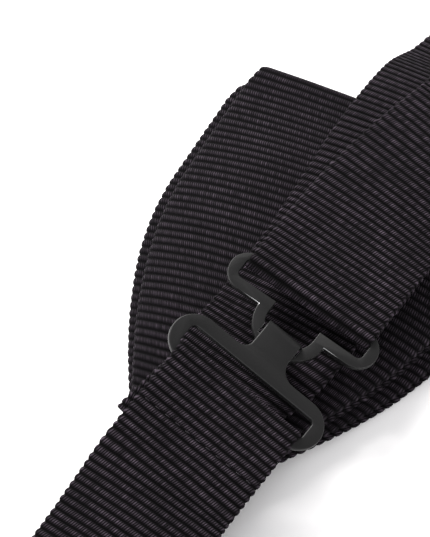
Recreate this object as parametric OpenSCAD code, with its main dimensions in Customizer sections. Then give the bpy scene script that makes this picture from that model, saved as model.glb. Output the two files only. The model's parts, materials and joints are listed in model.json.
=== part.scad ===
// Ready-tied bow tie in ribbed ribbon, lying on its face with its neckband
// closed and folded flat over the back of the bow. X runs along the bow,
// Y across it, Z up. The origin is the middle of the knot's front face.

/* [Bow] */
// Half length of the front bow, knot centre to wing end
front_half_l = 66; // [56:1:76]
// Half length of the back bow
back_half_l = 68; // [58:1:78]
// Half height of the front bow at the wing
front_half_w = 22.4; // [17:0.2:28]
// Half height of the back bow at the wing
back_half_w = 20.4; // [15.4:0.2:26]
// Half height of both bows where the knot pinches them
pinch_half_w = 7.1; // [6.4:0.1:7.2]
// Thickness of one folded leaf of a bow
leaf_t = 0.8; // [0.6:0.05:0.9]
// Rise of the front bow's upper leaf along its middle
front_crown = 2; // [0.5:0.1:2.2]
// Rise of the back bow's upper leaf along its middle
back_crown = 3.5; // [2.8:0.1:3.6]
// Radius of the corners at the wing ends
wing_corner = 1.2; // [0.8:0.1:4]
// Thickness of the stiffening strip inside each bow
lining_t = 0.3; // [0.2:0.05:0.35]

/* [Knot] */
// Length of the knot along the bow
knot_l = 17; // [13:0.5:18]
// Thickness of the folded strip that wraps the knot
wrap_t = 0.9; // [0.7:0.05:1.1]
// Clear half height inside the wrap
wrap_inner_half = 8.2; // [8.1:0.1:10]
// Radius of the wrap's inner corners at the front of the knot
wrap_corner = 1.2; // [0.7:0.1:1.6]
// Radius of the wrap's inner corners at the back of the knot
wrap_back_corner = 1.9; // [0.8:0.1:2]
// Thickness of the thread that gathers the bows
thread_t = 0.35; // [0.25:0.05:0.4]
// Turns of gathering thread
thread_turns = 5; // [3:1:7]

/* [Neckband] */
// Width of the ribbon
band_w = 18; // [16:0.25:18.2]
// Width of the ribbon where the knot squeezes it
knot_band_w = 13; // [11:0.25:13]
// Thickness of the ribbon
band_t = 0.6; // [0.45:0.05:0.65]
// Distance from the knot to the left turn
left_reach = 100; // [98:1:120]
// Distance from the knot to the right turn
right_reach = 116; // [112:1:132]
// Radius of each turn, to the middle of the ribbon
turn_r = 4.9; // [4:0.1:5.5]
// Length of ribbon folded under behind the hook
hook_tail = 11.5; // [9:0.5:13]

/* [Clasp] */
// Thickness of the stamped plate
plate_t = 0.8; // [0.6:0.05:0.9]
// Radius in the corners of the ribbon slots
slot_corner = 0.7; // [0.4:0.1:0.8]
// Width of the hook plate
hook_w = 22.6; // [22.4:0.2:26]
// Bar that the hook's ribbon folds round
hook_bar = 1.7; // [1.3:0.1:2]
// Height of the hook's ribbon slot
hook_slot = 3.2; // [2.8:0.1:3.6]
// Bar between the slot and the tongue
hook_crossbar = 1.9; // [1.5:0.1:2.3]
// Metal at each side of the hook's slot
hook_side = 1.9; // [1.6:0.05:1.95]
// Width of the tongue
tongue_w = 5; // [4.4:0.1:5.4]
// Tongue from the slot's edge to its tip
tongue_l = 7.6; // [7.4:0.1:8]
// Fillet at the tongue's left shoulder
shoulder_left = 1.3; // [0.6:0.1:2]
// Fillet at the tongue's right shoulder
shoulder_right = 2.2; // [0.6:0.1:2.6]
// Clear height inside the tongue's curl
curl_gap = 1.9; // [1.8:0.05:2.1]
// Length of the lip that the curl ends in
lip_l = 2.3; // [1.8:0.1:2.6]
// Width of the eye plate
eye_w = 21.6; // [21.6:0.2:25]
// Bar that the eye's ribbon folds round
eye_bar = 1.2; // [1:0.1:1.5]
// Height of the eye's ribbon slot
eye_slot = 2.9; // [2.6:0.1:3.3]
// Metal round the eye's slot and loop
eye_rim = 1.55; // [1.3:0.05:1.65]
// Outer radius of the eye's loop
loop_r = 4.85; // [4.8:0.05:5.2]
// Width of the straight seat that the tongue's curl bears on
loop_seat = 5.5; // [5.3:0.1:5.8]

/* [Adjuster] */
// Distance from the knot to the slide's centre bar
slide_x = 89; // [88:0.5:94]
// Length of the slide along the band
slide_l = 9; // [8:0.5:11]
// Width of the slide's bars
slide_bar = 1.6; // [1.2:0.1:1.8]
// Width of the lips that hold the lower run
slide_lip = 2.4; // [1.5:0.1:3]

/* [Hidden] */
$fn = 48;

fabric = [0.09, 0.08, 0.09];
lining = [0.2, 0.2, 0.2];
thread = [0.05, 0.05, 0.06];
metal = [0.16, 0.16, 0.17];

crown_power = 2.3;          // how squarely a leaf turns down towards its long edges
layer_gap = 0.05;          // between pieces that are stacked and sewn together
gap = 0.3;                 // between pieces that lie loosely on each other
seat = 0.08;               // between a folded ribbon and the bar inside it

// ---- levels of the stack inside the knot, front to back ----
z_wrap_in = wrap_t;
z_thread_low = z_wrap_in + layer_gap + lining_t + layer_gap;
z_pinch = z_thread_low + thread_t + layer_gap;
leaf_step = leaf_t + layer_gap;
z_front_lower = z_pinch + leaf_t / 2;
z_front_lining = z_pinch + leaf_step + lining_t / 2;
z_front_upper = z_pinch + leaf_step + lining_t + layer_gap + leaf_t / 2;
z_back_lower = z_front_upper + leaf_step;
z_back_lining = z_back_lower + leaf_t / 2 + layer_gap + lining_t / 2;
z_back_upper = z_back_lining + lining_t / 2 + layer_gap + leaf_t / 2;
z_thread_high = z_back_upper + leaf_t / 2 + layer_gap;
z_band_knot = z_thread_high + thread_t + layer_gap + band_t / 2;
z_lining_high = z_band_knot + band_t / 2 + layer_gap;
z_wrap_top = z_lining_high + lining_t + layer_gap;
knot_h = z_wrap_top + wrap_t;

// ---- levels of the leaves at the wings: edge height, and rise along the middle ----
w_front_lower = leaf_t / 2;
w_front_upper = 2 * leaf_t;
w_front_lining = (w_front_lower + w_front_upper) / 2;
w_back_lower = w_front_upper + leaf_t + gap / 2
    + front_crown * crowned(back_half_w / front_half_w);
w_back_upper = w_back_lower + leaf_t + lining_t + 2 * layer_gap;
w_back_lining = (w_back_lower + w_back_upper) / 2;
crown_back_lower = front_crown + gap;
back_top = w_back_upper + back_crown + leaf_t / 2;

// ---- levels of the neckband ----
run_z = back_top + 0.1 + band_t / 2;        // under run, on the back of the bow
table_z = band_t / 2 + 0.03;
return_z = table_z + 2 * turn_r;            // runs that come back over the bow
turn_y = -13;                               // sideways place of the right turn
fold_drop = plate_t / 2 + seat + band_t / 2;

// ---- clasp ----
// The eye's origin is the middle of the bar inside its fold, and its place is chosen.
// The hook's origin is the middle of its own bar, and it follows from the eye's loop.
eye_at = [30.3, -6.05, run_z + 3.9];
eye_turn = [15, -2, -5.5];
hook_turn = [22, -4, -7.5];
hook_frame_h = hook_bar + hook_slot + hook_crossbar;
slot_edge = hook_bar / 2 + hook_slot;
tongue_tip = slot_edge + tongue_l;
curl_r = curl_gap / 2 + plate_t;
eye_frame_h = eye_bar + eye_slot + eye_rim;
eye_edge = eye_bar / 2 - eye_frame_h;
slack = 1.2;                                // free play between the curl and the loop
loop_in_eye = [eye_edge - loop_r + eye_rim / 2, 0, 0];
loop_in_hook = [tongue_tip - plate_t - slack - eye_rim / 2, 0, plate_t / 2 - curl_r];
hook_at = eye_at + turned(loop_in_eye, eye_turn) - turned(loop_in_hook, hook_turn);

// ---- folded ribbon at the hook and the eye, in their own frames ----
leg_end = hook_tail + 0.5;
hook_upper_leg = [[leg_end, 0, fold_drop, 0], [6, 0, fold_drop, 0], [0, 0, fold_drop, 0]];
hook_lower_leg = [
    [0, 0, -fold_drop, 0], [1.2, 0, -fold_drop, 0], [4.6, 0, fold_drop - band_t - seat, 0],
    [hook_tail, 0, fold_drop - band_t - seat, 0]
];
hook_leg_at = hook_at + turned([-leg_end - 2 * gap, 0, fold_drop], hook_turn);
hook_leg_out = hook_at + turned([-leg_end - 4, 0, fold_drop], hook_turn);
eye_upper_leg = [[3, 0, fold_drop - 0.05, 0], [1.2, 0, fold_drop, 0], [0, 0, fold_drop, 0]];
eye_lower_leg = [
    [0, 0, -fold_drop, 0], [2, 0, -fold_drop - 0.05, 0], [8, 0, -fold_drop - 0.7, 0],
    [14, 0, -fold_drop - 1.5, 0]
];
eye_leg_at = eye_at + turned([3 + gap, 0, fold_drop - 0.1], eye_turn);
eye_tail_at = eye_at + turned([14, 0, -fold_drop - 1.5], eye_turn);

// ---- adjuster: heights above the lower run that it slides on ----
slide_z = return_z + band_t / 2 + gap + band_t + seat + plate_t / 2;
slide_leg = 6;                              // legs of its folded ribbon
play = 1.6;                                 // room for the pieces beside the eye to slide
slide_clear = gap;                          // between the slide and the lower run

// ---- routes of the neckband: x, y, z and the sideways tilt in degrees ----
under_route = [
    [-left_reach, 0, table_z, 0], [-95, 0, table_z, 0], [-86, 0, 2, 0], [-75, 0, 6.4, 0],
    [-62, 0, run_z, 0], [-26, 0, run_z + 0.1, 0], [-15, -0.2, z_band_knot + 1.2, 0],
    [-9, 0, z_band_knot, 0], [-3, 0, z_band_knot, 0], [3, 0, z_band_knot, 0],
    [9, 0, z_band_knot, 0], [15, -0.8, z_band_knot + 1.3, 3], [26, -3.2, run_z + 0.3, 5],
    [42, -3.8, run_z, 6], [60, -3.6, run_z, 4], [73, -4, 6.6, 0], [81, -4.6, 2.2, 0],
    [87, -5.8, table_z + 0.6, 0], [94, -9, table_z + 0.3, 0],
    [101, -12.3, table_z + 0.05, 0], [106, turn_y, table_z, 0], [111, turn_y, table_z, 0],
    [right_reach, turn_y, table_z, 0]
];
hook_route = [
    [-left_reach, 0, return_z, 0], [-84, 0, return_z + 0.2, 0], [-56, 0, run_z + 2, 3],
    [-30, -1.2, run_z + 2.9, 12], [-14, -2.4, knot_h + 3.8, 18],
    [hook_leg_out[0], hook_leg_out[1], hook_leg_out[2], 21.5],
    [hook_leg_at[0], hook_leg_at[1], hook_leg_at[2], 21.5]
];
lower_route = [
    [eye_tail_at[0] + play, eye_tail_at[1] - 0.1, eye_tail_at[2] - 0.1, 14],
    [58, -8.9, return_z + 0.5, 9], [70, -11.8, return_z, 2], [79, turn_y, return_z, 0],
    [94, turn_y, return_z, 0], [right_reach, turn_y, return_z, 0]
];
upper_route = [
    [eye_leg_at[0], eye_leg_at[1], eye_leg_at[2], 15], [46, -7.2, run_z + 3.5, 14],
    [57, -9.2, run_z + 3.3, 11], [66, -11.8, run_z + 3.3, 6], [75, -13, slide_z, 1],
    [slide_x - slide_leg - play, turn_y, slide_z + fold_drop, 0]
];

// ================= vectors and curves =================
function unit(v) = v / norm(v);
// A vector turned about X, then Y, then Z
function turned(v, a) = let (
    p = [v[0], v[1] * cos(a[0]) - v[2] * sin(a[0]), v[1] * sin(a[0]) + v[2] * cos(a[0])],
    q = [p[0] * cos(a[1]) + p[2] * sin(a[1]), p[1], p[2] * cos(a[1]) - p[0] * sin(a[1])]
) [q[0] * cos(a[2]) - q[1] * sin(a[2]), q[0] * sin(a[2]) + q[1] * cos(a[2]), q[2]];
function clamp01(t) = min(1, max(0, t));
function smooth(t) = let (c = clamp01(t)) c * c * (3 - 2 * c);
function catmull(a, b, c, d, t) =
    0.5 * (2 * b + (c - a) * t + (2 * a - 5 * b + 4 * c - d) * t * t
        + (3 * b - a - 3 * c + d) * t * t * t);
// A smooth curve through stations, with a few steps in each span
function curve(p, steps) = let (n = len(p)) [
    for (i = [0 : n - 2], j = [0 : steps - (i < n - 2 ? 1 : 0)])
        catmull(p[max(0, i - 1)], p[i], p[i + 1], p[min(n - 1, i + 2)], j / steps)
];
function place(s) = [s[0], s[1], s[2]];
function tangent(c, i) = unit(place(c[min(len(c) - 1, i + 1)]) - place(c[max(0, i - 1)]));
// Direction across the ribbon, square to its run and tilted sideways
function across(t, tilt) = let (w = [0, cos(tilt), sin(tilt)]) unit(w - (w * t) * t);

// Outline of a flat strip with eased edges
function strip_outline(w, t) = let (e = t / 4) [
    [-w / 2, -e], [-w / 2 + e, -t / 2], [w / 2 - e, -t / 2], [w / 2, -e],
    [w / 2, e], [w / 2 - e, t / 2], [-w / 2 + e, t / 2], [-w / 2, e]
];

// Skin over rings of points; a closed skin joins its last ring to its first
module skin(rings, closed = false) {
    n = len(rings);
    m = len(rings[0]);
    points = [for (r = rings, p = r) p];
    spans = closed ? n : n - 1;
    sides = [
        for (i = [0 : spans - 1], j = [0 : m - 1])
            let (a = i * m + j, b = i * m + (j + 1) % m,
                 c = ((i + 1) % n) * m + (j + 1) % m, d = ((i + 1) % n) * m + j)
                each [[a, c, b], [a, d, c]]
    ];
    caps = closed ? [] : [
        [for (j = [0 : m - 1]) j],
        [for (j = [m - 1 : -1 : 0]) (n - 1) * m + j]
    ];
    polyhedron(points, concat(sides, caps), convexity = 8);
}

function ribbon_ring(c, i, w, t) = let (
    d = tangent(c, i), s = across(d, c[i][3]), up = cross(d, s)
) [for (q = strip_outline(w, t)) place(c[i]) + s * q[0] + up * q[1]];

module ribbon(c, w = band_w, t = band_t)
    skin([for (i = [0 : len(c) - 1]) ribbon_ring(c, i, w, t)]);

// ================= bows =================
knot_lip = 0.7;                             // the bows start to widen this far inside the knot
widen_l = 40;                               // length over which they reach their full height
open_l = 22;                                // length over which their leaves part
// Half height of a bow at a place along it
function bow_half(x, half_w) = pinch_half_w + (half_w - pinch_half_w)
    * sin(90 * clamp01((abs(x) - knot_l / 2 + knot_lip) / widen_l));
// How far the loop has opened out from the knot
function opened(x) = smooth((abs(x) - knot_l / 2) / open_l);
// Share of a leaf's rise at a share of its half height
function crowned(r) = 1 - pow(abs(r), crown_power);
// The rise fades towards the straight end of the wing
fade_l = 20;
end_rise = 0.25;
function flattened(x, half_l) = 1 - (1 - end_rise) * smooth((x - half_l) / fade_l + 1);
// One station of a leaf: x, z, half height, rise along the middle, and the half height
// that the rise is spread over
function leaf_station(x, z_knot, z_wing, crown, half_l, half_w, inset = 0) = let (o = opened(x))
    [x, z_knot + (z_wing - z_knot) * o, bow_half(x, half_w) - inset * o,
        crown * o * flattened(x, half_l), bow_half(x, half_w)];

// Ring of points across a leaf, at a station and with the loop's normal turned by an angle
across_steps = [-1, -0.93, -0.6, -0.3, 0, 0.3, 0.6, 0.93, 1];
function leaf_side(s, nrm, t, sign) = [
    for (v = across_steps)
        let (edge = abs(v) == 1 ? 0.4 : 1, h = sign * edge * t / 2)
            [s[0] + nrm[0] * h, v * s[2], s[1] + s[3] * crowned(v * s[2] / s[4]) + nrm[1] * h]
];
function reverse(l) = [for (i = [len(l) - 1 : -1 : 0]) l[i]];
function leaf_ring(s, nrm, t) = concat(leaf_side(s, nrm, t, -1), reverse(leaf_side(s, nrm, t, 1)));

leaf_xs = [0, 6, 8.5, 10.5, 13, 15.5, 18, 20.5, 23, 26, 29.5, 34, 39, 45, 52];
lining_gap = 10;                            // from the wing's end to the end of its lining
function leaf_places(half_l) =
    concat([for (x = leaf_xs) if (x < half_l - lining_gap - 1) x], [half_l - lining_gap]);
turn_steps = 6;
turn_start = 5;                             // the wing's end bends over this length

// A flattened loop of two leaves that turns over at each wing end
module bow_loop(half_l, half_w, knot_zs, wing_zs, crowns) {
    r = (wing_zs[1] - wing_zs[0]) / 2;
    reach = half_l - leaf_t / 2 - r;
    xs = concat(leaf_places(half_l), [reach - turn_start]);
    mid_z = (wing_zs[1] + wing_zs[0]) / 2;
    lower = [for (x = xs) leaf_ring(
        leaf_station(x, knot_zs[0], wing_zs[0], crowns[0], half_l, half_w), [0, -1], leaf_t)];
    upper = [for (x = xs) leaf_ring(
        leaf_station(x, knot_zs[1], wing_zs[1], crowns[1], half_l, half_w), [0, 1], leaf_t)];
    turn = [for (k = [0 : turn_steps])
        let (a = -90 + 180 * k / turn_steps,
             crown = crowns[0] + (crowns[1] - crowns[0]) * k / turn_steps,
             half = bow_half(reach, half_w) - wing_corner * (1 / 3 + pow(cos(a), 2) / 2))
            leaf_ring([reach + r * cos(a), mid_z + r * sin(a), half, crown * end_rise, half],
                [cos(a), sin(a)], leaf_t)];
    right = concat(lower, turn, reverse(upper));
    left = [for (l = reverse(right)) [for (p = l) [-p[0], p[1], p[2]]]];
    loop = concat(right, [for (i = [1 : len(right) - 2]) left[i]]);
    skin([for (r = loop) reverse(r)], closed = true);
}

// A flat stiffening strip that follows the middle of a loop
module bow_lining(half_l, half_w, z_knot, z_wing, crown) {
    inset = 2.8;                            // from the bow's long edges
    xs = leaf_places(half_l);
    side = [for (x = xs) leaf_ring(
        leaf_station(x, z_knot, z_wing, crown, half_l, half_w, inset), [0, 1], lining_t)];
    other = [for (i = [len(side) - 1 : -1 : 1]) [for (p = side[i]) [-p[0], p[1], p[2]]]];
    skin(concat(other, side));
}

module front_bow() color(fabric) bow_loop(front_half_l, front_half_w,
    [z_front_lower, z_front_upper], [w_front_lower, w_front_upper], [0, front_crown]);

module front_bow_interlining() color(lining) bow_lining(front_half_l, front_half_w,
    z_front_lining, w_front_lining, front_crown / 2);

module back_bow() color(fabric) bow_loop(back_half_l, back_half_w,
    [z_back_lower, z_back_upper], [w_back_lower, w_back_upper], [crown_back_lower, back_crown]);

module back_bow_interlining() color(lining) bow_lining(back_half_l, back_half_w,
    z_back_lining, w_back_lining, (crown_back_lower + back_crown) / 2);

// ================= knot =================
// A rectangle in Y and Z with round corners, front and back
module rounded_rect(half_y, z0, z1, r_front, r_back) {
    for (sy = [-1, 1]) {
        translate([sy * (half_y - r_front), z0 + r_front]) circle(r_front);
        translate([sy * (half_y - r_back), z1 - r_back]) circle(r_back);
    }
    translate([-half_y + r_front, z0]) square([2 * (half_y - r_front), r_front]);
    translate([-half_y, z0 + r_front]) square([2 * half_y, z1 - z0 - r_front - r_back]);
    translate([-half_y + r_back, z1 - r_back]) square([2 * (half_y - r_back), r_back]);
}

// A flat tube along X round the stack, with walls of thickness t outside the given outline
module sleeve(length, half_y, z0, z1, r_front, r_back, t)
    rotate([90, 0, 90]) translate([0, 0, -length / 2]) linear_extrude(length) difference() {
        rounded_rect(half_y + t, z0 - t, z1 + t, r_front + t, r_back + t);
        rounded_rect(half_y, z0, z1, r_front, r_back);
    }

module knot_wrap() color(fabric)
    sleeve(knot_l, wrap_inner_half, z_wrap_in, z_wrap_top, wrap_corner, wrap_back_corner, wrap_t);

module knot_interlining() color(lining) {
    inset = layer_gap + lining_t;
    sleeve(knot_l - 2, wrap_inner_half - inset, z_wrap_in + inset, z_lining_high,
        wrap_corner - inset, wrap_back_corner - inset, lining_t);
}

module gathering_thread() color(thread) {
    pitch = thread_t + 0.15;
    corner = 0.3;
    for (k = [0 : thread_turns - 1]) translate([(k - (thread_turns - 1) / 2) * pitch, 0, 0])
        sleeve(thread_t, pinch_half_w + layer_gap, z_thread_low + thread_t, z_thread_high,
            corner, corner, thread_t);
}

// A row of short stitches that closes the wrap on the back of the knot
module knot_stitches() color(thread) {
    count = 8;
    margin = 2;
    seam_y = 4.6;
    stitch_l = 1.6;
    pitch = (knot_l - 2 * margin) / (count - 1);
    for (k = [0 : count - 1])
        translate([-knot_l / 2 + margin + k * pitch, seam_y, knot_h + thread_t / 2 + 0.01])
            rotate([90, 0, 0]) cylinder(h = stitch_l, r = thread_t / 2, center = true);
}

// ================= neckband =================
squeeze_l = 13;                             // length over which the ribbon spreads out again
function under_w(x) = knot_band_w
    + (band_w - knot_band_w) * smooth((abs(x) - knot_l / 2 - 1) / squeeze_l);

module neckband_under_run() color(fabric) {
    c = [for (s = curve(under_route, 3)) [s[0], s[1], max(table_z, s[2]), s[3]]];
    skin([for (i = [0 : len(c) - 1]) ribbon_ring(c, i, under_w(c[i][0]), band_t)]);
}

// Half turn that carries the band from the table back over itself
module band_turn(x, y, side) {
    steps = 12;
    ribbon([for (k = [0 : steps]) let (a = -90 + 180 * k / steps)
        [x + side * (2 * layer_gap + turn_r * cos(a)), y, table_z + turn_r + turn_r * sin(a), 0]]);
}

module neckband_left_turn() color(fabric) band_turn(-left_reach, 0, -1);

module neckband_right_turn() color(fabric) band_turn(right_reach, turn_y, 1);

module neckband_hook_run() color(fabric) ribbon(curve(hook_route, 4));

module neckband_lower_run() color(fabric) ribbon(curve(lower_route, 4));

// Ribbon folded round a bar at the origin, with legs that run to +X
module folded_band(bar, upper, lower) {
    steps = 8;
    inner_r = plate_t / 2 + seat;
    x0 = bar / 2 - 0.6 * sqrt(inner_r * inner_r - plate_t * plate_t / 4);
    bend = [for (k = [0 : steps]) let (a = 90 + 180 * k / steps)
        [-x0 + fold_drop * cos(a), 0, fold_drop * sin(a), 0]];
    ribbon(concat(upper, bend, lower));
}

// Rows of short stitches through both legs of a fold, on top of the upper leg
module tack_rows(x, rows, z) {
    count = 11;
    row_step = 1.6;
    margin = 1.2;
    stitch_r = 0.16;
    pitch = (band_w - 2 * margin) / (count - 1);
    for (r = [0 : rows - 1], k = [0 : count - 1])
        translate([x + r * row_step, -band_w / 2 + margin + k * pitch, z + stitch_r + 0.01])
            rotate([90, 0, 0]) cylinder(h = pitch * 0.62, r = stitch_r, center = true);
}

module hook_band_fold() color(fabric) translate(hook_at) rotate(hook_turn) mirror([1, 0, 0])
    folded_band(hook_bar, hook_upper_leg, hook_lower_leg);

module hook_stitches() color(thread) translate(hook_at) rotate(hook_turn)
    tack_rows(-8, 2, fold_drop + band_t / 2);

module eye_band_fold() color(fabric) translate(eye_at) rotate(eye_turn)
    folded_band(eye_bar, eye_upper_leg, eye_lower_leg);

module eye_band_upper_run() color(fabric) ribbon(curve(upper_route, 4));

// ================= clasp plates =================
// A slot with round corners, centred on the origin
module slot(w, h) {
    r = min(slot_corner, h / 2.2);
    square([h, w - 2 * r], center = true);
    square([h - 2 * r, w], center = true);
    for (x = [-1, 1], y = [-1, 1]) translate([x * (h / 2 - r), y * (w / 2 - r)]) circle(r);
}

// A bar with round ends, centred on the origin
module stadium(w, h) {
    translate([-h / 2, -w / 2 + h / 2]) square([h, w - h]);
    for (s = [-1, 1]) translate([0, s * (w / 2 - h / 2)]) circle(h / 2);
}

// Fillet in the corner between the +X side of a bar and the side of a tongue
module shoulder(r, side) difference() {
    translate([0, side > 0 ? 0 : -r]) square([r, r]);
    translate([r, side * r]) circle(r);
}

module hook() color(metal) translate(hook_at) rotate(hook_turn) {
    translate([0, 0, -plate_t / 2]) linear_extrude(plate_t) difference() {
        union() {
            translate([(hook_frame_h - hook_bar) / 2, 0]) stadium(hook_w, hook_frame_h);
            translate([slot_edge, -tongue_w / 2])
                square([tongue_l - curl_r, tongue_w]);
            translate([slot_edge + hook_crossbar, tongue_w / 2]) shoulder(shoulder_left, 1);
            translate([slot_edge + hook_crossbar, -tongue_w / 2]) shoulder(shoulder_right, -1);
        }
        translate([(hook_bar + hook_slot) / 2, 0]) slot(hook_w - 2 * hook_side, hook_slot);
    }
    // the tongue curls down and back, and ends in a flat lip
    translate([tongue_tip - curl_r, 0, plate_t / 2 - curl_r]) rotate([90, 0, 0])
        translate([0, 0, -tongue_w / 2]) linear_extrude(tongue_w) difference() {
            circle(curl_r);
            circle(curl_gap / 2);
            translate([-2 * curl_r, -2 * curl_r]) square([2 * curl_r, 4 * curl_r]);
        }
    translate([tongue_tip - curl_r - lip_l, -tongue_w / 2, plate_t / 2 - 2 * curl_r])
        cube([lip_l, tongue_w, plate_t]);
}

module eye() color(metal) translate(eye_at) rotate(eye_turn)
    translate([0, 0, -plate_t / 2]) linear_extrude(plate_t) difference() {
        union() {
            translate([(eye_bar - eye_frame_h) / 2, 0]) stadium(eye_w, eye_frame_h);
            translate([eye_edge, 0]) circle(loop_r);
        }
        translate([-(eye_bar + eye_slot) / 2, 0]) slot(eye_w - 2 * eye_rim, eye_slot);
        translate([eye_edge, 0]) circle(loop_r - eye_rim);
        translate([eye_edge - loop_r + eye_rim, -loop_seat / 2])
            square([loop_r - eye_rim, loop_seat]);
        translate([eye_edge, -loop_r + eye_rim]) square([2 * eye_rim, 2 * (loop_r - eye_rim)]);
    }

// ================= adjuster =================
slide_inner = band_w / 2 + slide_clear;      // half width of the way through
slide_outer = slide_inner + 2 * plate_t;
lip_z = return_z - band_t / 2 - slide_clear - plate_t;

// A frame of three bars above the lower run, whose sides fold down and under it
module adjuster_slide() color(metal) translate([slide_x, turn_y, 0]) {
    translate([0, 0, slide_z - plate_t / 2]) linear_extrude(plate_t) {
        for (x = [-slide_l / 2, -slide_bar / 2, slide_l / 2 - slide_bar])
            translate([x, -slide_outer]) square([slide_bar, 2 * slide_outer]);
        for (y = [-slide_outer, slide_inner])
            translate([-slide_l / 2, y]) square([slide_l, 2 * plate_t]);
    }
    for (side = [-1, 1]) {
        translate([-slide_l / 2, side * (slide_outer - plate_t / 2) - plate_t / 2, lip_z])
            cube([slide_l, plate_t, slide_z - lip_z]);
        translate([-slide_l / 2, side * (slide_outer - slide_lip / 2) - slide_lip / 2, lip_z])
            cube([slide_l, slide_lip, plate_t]);
    }
}

module adjuster_band_fold() color(fabric) translate([slide_x, turn_y, slide_z])
    mirror([1, 0, 0]) folded_band(slide_bar,
        [[slide_leg, 0, fold_drop, 0], [3, 0, fold_drop, 0], [0, 0, fold_drop, 0]],
        [[0, 0, -fold_drop, 0], [3, 0, -fold_drop, 0], [slide_leg, 0, -fold_drop, 0]]);

module adjuster_stitches() color(thread) translate([slide_x, turn_y, slide_z])
    tack_rows(-4.2, 1, fold_drop + band_t / 2);

front_bow();
front_bow_interlining();
back_bow();
back_bow_interlining();
gathering_thread();
knot_wrap();
knot_interlining();
knot_stitches();
neckband_under_run();
neckband_left_turn();
neckband_hook_run();
neckband_right_turn();
neckband_lower_run();
hook();
hook_band_fold();
hook_stitches();
eye();
eye_band_fold();
eye_band_upper_run();
adjuster_slide();
adjuster_band_fold();
adjuster_stitches();
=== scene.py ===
"""Looks of a ready-tied bow tie in ribbed ribbon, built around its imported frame.

The tie lies on its face with its neckband closed and folded flat over its back. Every ribbon
is swept along the same route as its solid in the frame and gets its ribs from Geometry Nodes;
the stamped clasp plates are the frame's own shapes with eased edges.
"""

import json
import logging
import math
from collections.abc import Callable, Sequence
from dataclasses import dataclass
from enum import Enum

import bmesh
import bpy
import numpy as np
from mathutils import Euler, Matrix, Vector

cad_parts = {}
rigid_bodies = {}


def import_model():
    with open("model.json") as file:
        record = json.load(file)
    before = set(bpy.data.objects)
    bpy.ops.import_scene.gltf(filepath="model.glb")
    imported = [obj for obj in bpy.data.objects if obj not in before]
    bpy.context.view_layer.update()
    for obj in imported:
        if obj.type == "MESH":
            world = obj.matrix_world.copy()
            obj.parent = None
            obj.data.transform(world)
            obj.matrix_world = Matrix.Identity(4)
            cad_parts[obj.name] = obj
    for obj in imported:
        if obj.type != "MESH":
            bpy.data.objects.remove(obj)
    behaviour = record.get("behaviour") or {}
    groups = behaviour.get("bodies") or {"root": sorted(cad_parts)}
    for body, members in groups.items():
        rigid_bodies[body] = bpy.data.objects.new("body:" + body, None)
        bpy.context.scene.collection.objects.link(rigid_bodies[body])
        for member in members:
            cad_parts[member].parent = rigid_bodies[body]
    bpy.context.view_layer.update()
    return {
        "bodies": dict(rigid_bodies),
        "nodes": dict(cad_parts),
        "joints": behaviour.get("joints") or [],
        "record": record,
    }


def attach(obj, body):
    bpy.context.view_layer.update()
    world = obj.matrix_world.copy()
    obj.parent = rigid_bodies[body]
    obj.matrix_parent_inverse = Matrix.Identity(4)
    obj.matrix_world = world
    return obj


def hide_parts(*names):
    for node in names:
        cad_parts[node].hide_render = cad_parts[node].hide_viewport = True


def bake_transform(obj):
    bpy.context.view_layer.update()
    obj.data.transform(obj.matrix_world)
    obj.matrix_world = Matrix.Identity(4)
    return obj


LOG = logging.getLogger("bow_tie")
MM = 0.001
CLOTH = "cloth"
RIB = "rib"
WEAR = "wear"
ARC_POINTS = 25
CORNER_POINTS = 13
STRIP_POINTS = 20
LOOP_POINTS = 26

# Passes that soften a route, and the shift at which a point is part of a tight fold and stays.
SMOOTHING = 1600
FOLD_SHIFT = 0.5

# Share of the rib height that each side of a ribbon gives up before its ribs are raised.
RIB_SINK = 0.6

Colour = tuple[float, float, float]
Station = tuple[float, float, float, float, float]


class Body(Enum):
    """The moving bodies of the frame."""

    BOW = "bow"
    HOOK_END = "hook_end"
    EYE_END = "eye_end"
    ADJUSTER = "adjuster"


class Slot(Enum):
    """The material slots that the new pieces fill."""

    BOW_RIBBON = "bow_ribbon"
    RIBBON = "ribbon"
    THREAD = "thread"
    METAL = "black_metal"


# ------------------------------------------------------------------ node trees


class Value:
    """A number on a node's output that adds Math nodes when it is used in an expression."""

    def __init__(self, net: "Net", socket: bpy.types.NodeSocket) -> None:
        """Wraps a socket of one tree."""
        self.net = net
        self.socket = socket

    def _math(self, operation: str, *others: "Value | float") -> "Value":
        """Adds a Math node whose first input is this value."""
        inputs = dict(enumerate((self, *others)))
        return self.net.add("ShaderNodeMath", {"operation": operation}, inputs)

    def _swapped(self, operation: str, other: float) -> "Value":
        """Adds a Math node whose first input is the other number."""
        return self.net.add("ShaderNodeMath", {"operation": operation}, {0: other, 1: self})

    def __add__(self, other: "Value | float") -> "Value":
        """Sum."""
        return self._math("ADD", other)

    __radd__ = __add__

    def __sub__(self, other: "Value | float") -> "Value":
        """Difference."""
        return self._math("SUBTRACT", other)

    def __rsub__(self, other: float) -> "Value":
        """Difference from a number on the left."""
        return self._swapped("SUBTRACT", other)

    def __mul__(self, other: "Value | float") -> "Value":
        """Product."""
        return self._math("MULTIPLY", other)

    __rmul__ = __mul__

    def __truediv__(self, other: "Value | float") -> "Value":
        """Quotient."""
        return self._math("DIVIDE", other)

    def __pow__(self, power: float) -> "Value":
        """Power."""
        return self._math("POWER", power)

    def fraction(self) -> "Value":
        """What is left after the whole number below."""
        return self._math("FRACT")

    def whole(self) -> "Value":
        """The whole number below."""
        return self._math("FLOOR")

    def size(self) -> "Value":
        """The number without its sign."""
        return self._math("ABSOLUTE")

    def hump(self, power: float) -> "Value":
        """A row of round humps, one for each whole number, from 0 in the valleys to 1."""
        return 1 - ((self.fraction() * 2) - 1).size() ** power


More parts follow.
